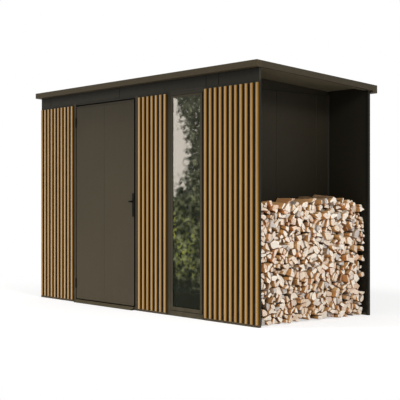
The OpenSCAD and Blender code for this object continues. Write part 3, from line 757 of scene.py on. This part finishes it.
def add_rows(rng, groups):
    """The stack's two rows, one behind the other, with the same outlines."""
    for cell in split_outlines(rng):
        area, (cy, cz) = area_centre(cell)
        loose = rng.gauss(0, 0.014)
        if cz > top_at(cy) + loose or cy > side_at(cz) + loose or area < 0.0003:
            continue
        shape = log_shape(rng, cell)
        if not shape:
            continue
        rim = cy < NEAR_Y + 0.04 or cy > FAR_Y - 0.05 or cz < FOOT_Z + 0.04
        lean = 0.4 if rim else 1.0
        yaw = lean * max(-0.26, min(0.26, rng.gauss(0, 0.12)))
        pitch = lean * max(-0.22, min(0.22, rng.gauss(0, 0.10)))
        end_x = FRONT + rng.triangular(-0.048, 0.028, 0.004)
        draw = rng.random()
        if draw < 0.05:
            end_x -= rng.uniform(0.06, 0.12)
        elif draw < 0.16:
            end_x -= rng.uniform(0.02, 0.05)
        group = groups[min(2, int(3 * cz / TOP_Z))]
        add_log(rng, group, shape, end_x, ROW_DEPTH - 0.012, yaw, pitch)
        rear_end_x = BACK + ROW_DEPTH - rng.uniform(0.014, 0.03)
        add_log(rng, group, shape, rear_end_x, ROW_DEPTH - 0.03, 0.0, 0.0)


def add_loose_logs(rng, group):
    """Logs lying askew on top of the front row."""
    y = NEAR_Y + 0.05
    while y < FAR_Y - 0.055:
        reach = rng.uniform(0.022, 0.032)
        corners = sorted(rng.uniform(0, 2 * math.pi) for _ in range(rng.choice((4, 5, 5, 6))))
        poly = [(y + reach * math.cos(a), reach * math.sin(a)) for a in corners]
        shape = log_shape(rng, poly) if area_centre(poly)[0] > 0.0009 else None
        if not shape:
            y += 0.01
            continue
        (cy, _), outline, *others = shape
        lowest = min(p[1] for p in outline)
        shape = ((cy, top_at(cy) + rng.uniform(-0.024, -0.004) - lowest), outline, *others)
        add_log(rng, group, shape, FRONT + rng.uniform(-0.04, 0.016), ROW_DEPTH,
                rng.gauss(0.05, 0.14), rng.gauss(0.10, 0.05))
        y += rng.uniform(0.045, 0.11)


def joined_logs(name, group):
    """A group's logs as one mesh, with each log's tones and pith kept at its points."""
    verts, faces, index, tones, piths = group
    made = mesh_object(name, verts, faces, [END_GRAIN, SPLIT_SIDE, BARK], index, sharp_deg=32)
    tone_data = made.data.attributes.new("tone", "FLOAT_COLOR", "POINT")
    tone_data.data.foreach_set("color", np.array(tones, np.float32).ravel())
    pith_data = made.data.attributes.new("pith", "FLOAT_VECTOR", "POINT")
    pith_data.data.foreach_set("vector", np.array(piths, np.float32).ravel())
    return made


def build_logs():
    """The stack of split logs, whose ends face +X, in three joined meshes."""
    rng = random.Random(LOG_SEED)
    names = ("firewood_lower", "firewood_middle", "firewood_upper")
    groups = [([], [], [], [], []) for _ in names]
    add_rows(rng, groups)
    add_loose_logs(rng, groups[2])
    return [joined_logs(name, group) for name, group in zip(names, groups)]


RING_SPACING = 0.0042


def tones_of(t):
    """A log's own three random shares: its shade, whether it is grey, and how warm it is."""
    made = t.node("Attribute", attribute_name="tone")
    return t.node("SeparateColor", {"Color": made.outputs["Color"]}).outputs[:3]


def log_surface(t, base, rough, normal):
    """A log's shader, with painted shade in the gaps between the logs, away from the stack's face and top.
    """
    deep = t.span(t.axis("X"), STACK_HIGH.x - 0.12, STACK_HIGH.x - 0.02, 0.75, 0.0)
    below_top = t.span(t.axis("Z"), STACK_HIGH.z - 0.07, STACK_HIGH.z - 0.04, 1.0, 0.0)
    base = t.blend(t.multiply(deep, below_top), base, linear(38, 25, 15))
    t.surface(base, rough, normal, Specular_IOR_Level=0.2)


def end_grain(name):
    """A log's end: growth rings round its pith, radial checks, saw marks and a few grey ends."""
    t = new_material(name)
    shade, grey, warm = tones_of(t)
    pith = t.node("Attribute", attribute_name="pith").outputs["Vector"]
    flat = t.vector_math("MULTIPLY", t.object_coords(), (0, 1, 1))
    away = t.vector_math("SUBTRACT", flat, pith)
    radius = t.add(t.vector_math("LENGTH", away, out="Value"), t.multiply(t.noise(45, 2), 0.006))
    rings = t.math("SINE", t.multiply(radius, 2 * math.pi / RING_SPACING))
    spokes = t.noise(5.0, 0, source=t.vector_math("NORMALIZE", away))
    checks = t.span(t.math("ABSOLUTE", t.subtract(spokes, 0.5)), 0.0, 0.012, 1.0, 0.0)
    checks = t.multiply(checks, t.span(t.noise(60, 2), 0.45, 0.62))
    blotch = t.noise(55, 3, rough=0.6)
    saw = t.noise(420, 2, stretch=(1, 0.08, 1.0))
    pale, tan = linear(237, 228, 215), linear(210, 185, 157)
    base = t.blend(t.span(t.add(shade, t.multiply(blotch, 0.8)), 0.75, 1.65), pale, tan)
    base = t.blend(t.span(warm, 0.72, 0.95, 0.0, 0.45), base, linear(216, 172, 140))
    base = t.blend(t.span(rings, -0.2, 1.0, 0.0, 0.16), base, linear(196, 156, 116))
    weathered = t.multiply(grey, t.span(blotch, 0.3, 0.6, 0.6, 0.95))
    base = t.blend(weathered, base, linear(182, 177, 173))
    base = t.blend(t.span(saw, 0.55, 0.75, 0.0, 0.15), base, linear(190, 160, 125))
    base = t.blend(checks, base, linear(92, 64, 42))
    height = t.subtract(t.add(t.multiply(rings, 0.12), saw), checks)
    log_surface(t, base, t.span(blotch, 0.3, 0.7, 0.72, 0.86), t.bump(height, 0.0009, 0.7))
    return t.owner


def split_side(name):
    """A log's split side: long torn fibres in honey brown, some grey."""
    t = new_material(name)
    shade, grey, warm = tones_of(t)
    fibre = t.noise(190, 5, stretch=(0.06, 1, 1), rough=0.62)
    band = t.noise(38, 3, stretch=(0.12, 1, 1), distort=0.5)
    base = t.blend(t.span(band, 0.3, 0.7), linear(208, 160, 102), linear(176, 120, 64))
    base = t.blend(t.span(shade, 0.45, 1.0, 0.0, 0.5), base, linear(204, 165, 120))
    base = t.blend(t.span(warm, 0.6, 1.0, 0.0, 0.6), base, linear(190, 108, 52))
    base = t.blend(t.multiply(grey, 0.7), base, linear(146, 138, 130))
    base = t.blend(t.span(fibre, 0.52, 0.72, 0.0, 0.4), base, linear(112, 72, 36))
    upward = t.axis("Z", t.normal())
    base = t.blend(t.span(upward, 0.3, 0.9, 0.0, 0.5), base, linear(176, 152, 114))
    height = t.add(fibre, t.multiply(band, 1.5))
    log_surface(t, base, t.span(fibre, 0.3, 0.7, 0.7, 0.85), t.bump(height, 0.0022, 0.8))
    return t.owner


def bark(name):
    """Bark: ridged, brown to silver grey."""
    t = new_material(name)
    shade = tones_of(t)[0]
    ridges = t.noise(95, 4, stretch=(0.22, 1, 1), rough=0.6, distort=0.8)
    flakes = t.node("TexVoronoi", {"Vector": t.mapped((0.4, 1, 1)), "Scale": 70.0}).outputs["Distance"]
    base = t.blend(t.span(ridges, 0.35, 0.65), linear(96, 72, 50), linear(150, 124, 96))
    base = t.blend(t.span(shade, 0.55, 0.85, 0.0, 0.75), base, linear(158, 152, 146))
    base = t.blend(t.span(flakes, 0.0, 0.12, 0.6, 0.0), base, linear(40, 30, 24))
    height = t.add(ridges, t.multiply(flakes, 0.8))
    log_surface(t, base, 0.85, t.bump(height, 0.003, 0.9))
    return t.owner


END_GRAIN = end_grain("log_end_grain")
SPLIT_SIDE = split_side("log_split_side")
BARK = bark("log_bark")

for logs in build_logs():
    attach(logs, "shed")
    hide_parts("firewood_stack")

# ----- roof ribs

RIB_PITCH = 0.2
RIB_W = 0.028
RIB_TOP_W = 0.018
RIB_H = 0.003
RIB_SUNK = 0.0004  # how far a rib's edges reach into the sheet
RIB_SIDE_ROOM = 0.1  # least width beside the outer ribs, both sides together
RIB_END_GAP = 0.012  # from the end of a rib to the sheet's edge
RIB_RISE_RUN = 0.02  # length over which a rib's end rises


def build_roof_ribs():
    """Low ribs pressed into the roof sheet, running down the slope between the trims."""
    low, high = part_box("roof_panel")
    corners = [v.co for v in NODES["roof_panel"].data.vertices]
    front_z = max(c.z for c in corners if abs(c.y - low.y) < 1e-4)
    rear_z = max(c.z for c in corners if abs(c.y - high.y) < 1e-4)
    count = int((high.x - low.x - RIB_SIDE_ROOM) / RIB_PITCH)
    start = (low.x + high.x - count * RIB_PITCH) / 2
    front_end, rear_end = low.y + RIB_END_GAP, high.y - RIB_END_GAP
    stations = [(front_end, 0.0), (front_end + RIB_RISE_RUN, 1.0),
                (rear_end - RIB_RISE_RUN, 1.0), (rear_end, 0.0)]
    verts, faces = [], []
    for i in range(count + 1):
        x = start + i * RIB_PITCH
        first = len(verts)
        for y, rise in stations:
            z = front_z + (rear_z - front_z) * (y - low.y) / (high.y - low.y)
            for dx, up in ((-RIB_W / 2, -RIB_SUNK), (-RIB_TOP_W / 2, RIB_H * rise),
                           (RIB_TOP_W / 2, RIB_H * rise), (RIB_W / 2, -RIB_SUNK)):
                verts.append((x + dx, y, z + up))
        for s in range(len(stations) - 1):
            for k in range(3):
                a = first + s * 4 + k
                faces.append((a, a + 1, a + 5, a + 4))
    ribs = mesh_object("roof_ribs", verts, faces, [ROOF], sharp_deg=30)
    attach(ribs, "shed")


build_roof_ribs()

# ----- gasket, and dark strips that paint the joints' shade

GASKET_W = 0.005
GASKET_H = 0.0025
GASKET_LIFT = 0.0001  # gap between the gasket and the glass
# sizes of the dark strips on the joints, which paint the joints' shade
JOINT_STRIP_W = 0.004
JOINT_STRIP_H = 0.0006
HEADER_STRIP_W = 0.0065
HEADER_STRIP_STOP = 0.02  # from the top of a header strip to the header's top
HEADER_GAP = 0.002  # the header's joints are narrower than this


def build_gasket():
    """The rubber seal round the glass, on both of its faces, with mitred corners."""
    low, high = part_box("window_glass")
    corners = ((low.x, low.z, 1, 1), (high.x, low.z, -1, 1),
               (high.x, high.z, -1, -1), (low.x, high.z, 1, -1))
    profile = [(0.0, 0.0), (0.0, 0.9), (0.25, 1.0), (0.7, 0.75), (1.0, 0.0)]
    n = len(profile)
    verts, faces = [], []
    for plane, out in ((low.y, -1), (high.y, 1)):
        first = len(verts)
        for cx, cz, sx, sz in corners:
            for across, up in profile:
                verts.append((cx + sx * across * GASKET_W, plane + out * (up * GASKET_H + GASKET_LIFT),
                              cz + sz * across * GASKET_W))
        for c in range(4):
            for k in range(n - 1):
                a, b = first + c * n + k, first + ((c + 1) % 4) * n + k
                faces.append((a, b, b + 1, a + 1) if out < 0 else (a, a + 1, b + 1, b))
    gasket = mesh_object("window_gasket", verts, faces, [RUBBER], sharp_deg=50)
    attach(gasket, "shed")


def header_joints():
    """The X of each joint between the header's lengths."""
    xs = sorted({round(v.co.x, 5) for v in NODES["front_header"].data.vertices})
    return [(a + b) / 2 for a, b in zip(xs, xs[1:]) if b - a < HEADER_GAP]


def build_joint_shade_strips():
    """Dark strips on the real joints, painting the shade in their gaps: round three sides of the window
    frame, and in the header.
    """
    low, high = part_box("window_frame")
    half = JOINT_STRIP_W / 2
    strips = [(low.x, high.x, high.z - half, high.z + half), (low.x - half, low.x + half, low.z, high.z),
              (low.x, high.x, low.z - half, low.z + half)]
    head_low, head_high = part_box("front_header")
    wide = HEADER_STRIP_W / 2
    strips += [(x - wide, x + wide, head_low.z, head_high.z - HEADER_STRIP_STOP) for x in header_joints()]
    quads = ((4, 5, 6, 7), (0, 1, 5, 4), (1, 2, 6, 5), (2, 3, 7, 6), (3, 0, 4, 7))
    verts, faces = [], []
    for x0, x1, z0, z1 in strips:
        faces += [tuple(len(verts) + k for k in quad) for quad in quads]
        for h in (0.0, JOINT_STRIP_H):
            verts += [(x0 + h, low.y - h, z0 + h), (x1 - h, low.y - h, z0 + h),
                      (x1 - h, low.y - h, z1 - h), (x0 + h, low.y - h, z1 - h)]
    seals = mesh_object("joint_shade_strips", verts, faces, [RUBBER])
    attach(seals, "shed")


build_gasket()
build_joint_shade_strips()

# ----- light, floor and backdrop

WORLD_LIGHT = 0.62
FLOOR_BOUNCE = 0.80
FLOOR_SEEN = 0.50
FLOOR_GLOW = 0.56
FLOOR_FADE = (2.0, 4.5)  # distances from the origin between which the floor turns white
FLOOR_REACH = 60.0
FLOOR_Z = -0.0008


def shown_ray(t):
    """1 for camera, glossy and transmission rays, which see the white background."""
    path = t.node("LightPath")
    seen = t.add(path.outputs["Is Camera Ray"], path.outputs["Is Glossy Ray"])
    return t.math("ADD", seen, path.outputs["Is Transmission Ray"], clamp=True)


def make_world():
    world = bpy.data.worlds.new("world")
    bpy.context.scene.world = world
    t = Tree(world)
    dim = t.node("Background", {"Color": (1.0, 0.99, 0.975, 1), "Strength": WORLD_LIGHT})
    white = t.node("Background", {"Color": (1, 1, 1, 1), "Strength": 1.0})
    mix = t.node("MixShader", {0: shown_ray(t), 1: dim.outputs[0], 2: white.outputs[0]})
    t.node("OutputWorld", {"Surface": mix.outputs[0]})


def make_floor():
    """A wide pale floor that shows white and keeps a soft shadow."""
    t = new_material("pale_floor")
    bounce = t.node("BsdfDiffuse", {"Color": (FLOOR_BOUNCE,) * 3 + (1,)})
    seen = t.node("BsdfDiffuse", {"Color": (FLOOR_SEEN,) * 3 + (1,)})
    glow = t.node("Emission", {"Color": (1, 1, 1, 1), "Strength": FLOOR_GLOW})
    pale = t.node("AddShader", {0: seen.outputs[0], 1: glow.outputs[0]})
    white = t.node("Emission", {"Color": (1, 1, 1, 1), "Strength": 1.0})
    far = t.span(t.vector_math("LENGTH", t.object_coords(), out="Value"), *FLOOR_FADE, smooth=True)
    pale = t.node("MixShader", {0: far, 1: pale.outputs[0], 2: white.outputs[0]})
    mix = t.node("MixShader", {0: shown_ray(t), 1: bounce.outputs[0], 2: pale.outputs[0]})
    t.node("OutputMaterial", {"Surface": mix.outputs[0]})
    corners = [(x * FLOOR_REACH, y * FLOOR_REACH, FLOOR_Z) for x, y in ((-1, -1), (1, -1), (1, 1), (-1, 1))]
    floor = mesh_object("floor", corners, [(0, 1, 2, 3)], [t.owner])


def hide_from(thing, *kinds):
    """Makes a thing unseen by some kinds of ray."""
    for kind in kinds:
        setattr(thing, "visible_" + kind, False)


def make_lamp(name, place, target, size, power, size_y=None):
    """A soft lamp, a disc or, with size_y, a strip, that only lights things."""
    data = bpy.data.lights.new(name, "AREA")
    data.shape = "RECTANGLE" if size_y else "DISK"
    data.size = size
    if size_y:
        data.size_y = size_y
    data.energy = power
    lamp = new_object(name, data)
    lamp.location = place
    lamp.rotation_euler = (Vector(target) - Vector(place)).to_track_quat("-Z", "Y").to_euler()
    hide_from(lamp, "camera", "glossy", "transmission")


make_world()
make_floor()
make_lamp("key_light", (-8.0, -12.4, 15.4), (0.0, -0.4, 1.0), 4.4, 1450)
make_lamp("low_light", (-0.3, -2.7, 0.2), (-0.3, -0.7, 0.7), 5.2, 13, size_y=0.3)
make_lamp("side_light", (8.0, -2.4, 4.8), (1.6, 0.0, 0.9), 1.8, 318)

# ----- what the glass reflects

GLASS_FACE_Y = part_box("window_glass")[0].y
CARD_AWAY = 3.0  # distance of the garden card in front of the glass
CARD_MARGIN = 0.12  # how far the card passes what the glass mirrors
CARD_TOP_MARGIN = 0.15
GROUND_Z = 0.004
GROUND_GAP = 0.06  # from the flat strip of garden to the glass
GARDEN_TALL = 6.4  # height of the garden's pattern over its width
GARDEN_SKY = 7.2  # brightness of the sky and of the leaves
GARDEN_LEAF = 7.1
SKY_COLOUR = (1.0, 0.91, 0.79, 1)
HAZE = (0.135, 0.13, 0.095, 1)
SUNLIT_LEAF = (0.33, 0.35, 0.055, 1)
TRUNK = (0.13, 0.125, 0.10, 1)
DEEP_SHADE = (0.006, 0.0065, 0.0025, 1)
LEAVES = [(0.36, (0.008, 0.010, 0.005, 1)), (0.46, (0.036, 0.040, 0.022, 1)),
          (0.54, (0.11, 0.12, 0.06, 1)), (0.66, (0.36, 0.37, 0.19, 1))]


def card_spot(x, z):
    """Where the camera's ray that the glass mirrors at (x, z) meets the card."""
    share = CARD_AWAY / (GLASS_FACE_Y - CAMERA_AT[1])
    return x + (x - CAMERA_AT[0]) * share, z + (z - CAMERA_AT[2]) * share


def mirrored_at(t, low, high):
    """Where on the glass a mirrored point is seen: from 0 to 1 to the right, and upwards."""
    k = t.divide(t.subtract(GLASS_FACE_Y, t.axis("Y")), GLASS_FACE_Y - CAMERA_AT[1])
    shares = []
    for axis, seen_from, start, end in (("X", CAMERA_AT[0], low.x, high.x),
                                        ("Z", CAMERA_AT[2], low.z, high.z)):
        place = t.divide(t.add(t.axis(axis), t.multiply(k, seen_from)), t.add(k, 1.0))
        shares.append(t.divide(t.subtract(place, start), end - start))
    return shares


def garden_material(low, high):
    """Blurred foliage with a trunk and an opening to the sky, laid out on the glass by u and v."""
    t = new_material("garden")
    u, v = mirrored_at(t, low, high)
    place = t.node("CombineXYZ", {"X": u, "Y": 0.0, "Z": t.multiply(v, GARDEN_TALL)}).outputs[0]
    leaves = t.noise(5.8, 4, rough=0.56, source=place)
    twigs = t.noise(9.0, 1, source=place, offset=(1, 0, 7))
    masses = t.noise(2.2, 2, source=place, offset=(3, 0, 5))
    glints = t.noise(10.0, 2, source=place, offset=(8, 0, 2))
    ragged = t.subtract(leaves, 0.5)

    def blob(cu, cv, ru, rv):
        """1 in the middle, 0 on an ellipse and below 0 outside it."""
        du, dv = t.divide(t.subtract(u, cu), ru), t.divide(t.subtract(v, cv), rv)
        return t.subtract(1.0, t.math("SQRT", t.add(t.multiply(du, du), t.multiply(dv, dv))))

    opening = t.math("MAXIMUM", blob(0.0, 0.745, 0.58, 0.20), blob(0.0, 0.95, 0.22, 0.06))
    edge = t.add(ragged, t.multiply(t.subtract(twigs, 0.5), 0.5))
    opening = t.add(opening, t.multiply(edge, 1.5))
    holes = t.multiply(t.span(glints, 0.58, 0.72), t.span(v, 0.48, 0.85))
    sky = t.math("MAXIMUM", t.span(opening, -0.16, 0.30, smooth=True), t.multiply(holes, 0.6))
    green = t.blend(t.multiply(t.span(v, 0.50, 0.72), 0.35), t.ramp(leaves, LEAVES), HAZE)
    sunny = t.multiply(t.span(v, 0.10, 0.17), t.span(v, 0.40, 0.54, 1.0, 0.0))
    for share in (t.span(twigs, 0.47, 0.64), t.span(u, 0.70, 0.95, 1.0, 0.15),
                  t.span(masses, 0.35, 0.6, 0.2, 0.9)):
        sunny = t.multiply(sunny, share)
    green = t.blend(sunny, green, SUNLIT_LEAF)
    lean = t.subtract(u, t.subtract(0.74, t.multiply(v, 0.28)))
    trunk = t.multiply(t.span(t.math("ABSOLUTE", lean), 0.018, 0.036, 1.0, 0.0),
                       t.multiply(t.span(v, 0.28, 0.36), t.span(twigs, 0.40, 0.52)))
    green = t.blend(t.multiply(trunk, 0.8), green, TRUNK)
    height = t.add(v, t.multiply(ragged, 0.22))
    dim = t.multiply(t.span(height, 0.08, 0.21, 0.07, 1.0), t.span(masses, 0.35, 0.65, 0.4, 1.4))
    green = t.shaded(green, t.multiply(dim, t.span(u, 0.66, 0.84, 1.0, 0.78)))
    green = t.blend(t.span(height, 0.05, 0.15), DEEP_SHADE, green)
    strength = t.add(GARDEN_LEAF, t.multiply(sky, GARDEN_SKY - GARDEN_LEAF))
    glow = t.node("Emission", {"Color": t.blend(sky, green, SKY_COLOUR), "Strength": strength})
    t.node("OutputMaterial", {"Surface": glow.outputs[0]})
    return t.owner


def make_garden():
    """An upright card and a flat strip of garden, seen by glossy rays alone."""
    low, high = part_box("window_glass")
    left = card_spot(low.x, 0)[0] - CARD_MARGIN
    right, top = card_spot(high.x, high.z)
    right += CARD_MARGIN
    top += CARD_TOP_MARGIN
    card_y, near_y = GLASS_FACE_Y - CARD_AWAY, GLASS_FACE_Y - GROUND_GAP
    foot = [(left, card_y, GROUND_Z), (right, card_y, GROUND_Z)]
    garden = [garden_material(low, high)]
    card = mesh_object("garden_card", foot + [(right, card_y, top), (left, card_y, top)],
                       [(0, 1, 2, 3)], garden)
    near = [(high.x + CARD_MARGIN, near_y, GROUND_Z), (low.x - CARD_MARGIN, near_y, GROUND_Z)]
    ground = mesh_object("garden_ground", foot + near, [(0, 1, 2, 3)], garden)
    for thing in (card, ground):
        hide_from(thing, "camera", "diffuse", "transmission", "volume_scatter", "shadow")


make_garden()

# ----- finish

bpy.context.scene.view_settings.view_transform = "Standard"
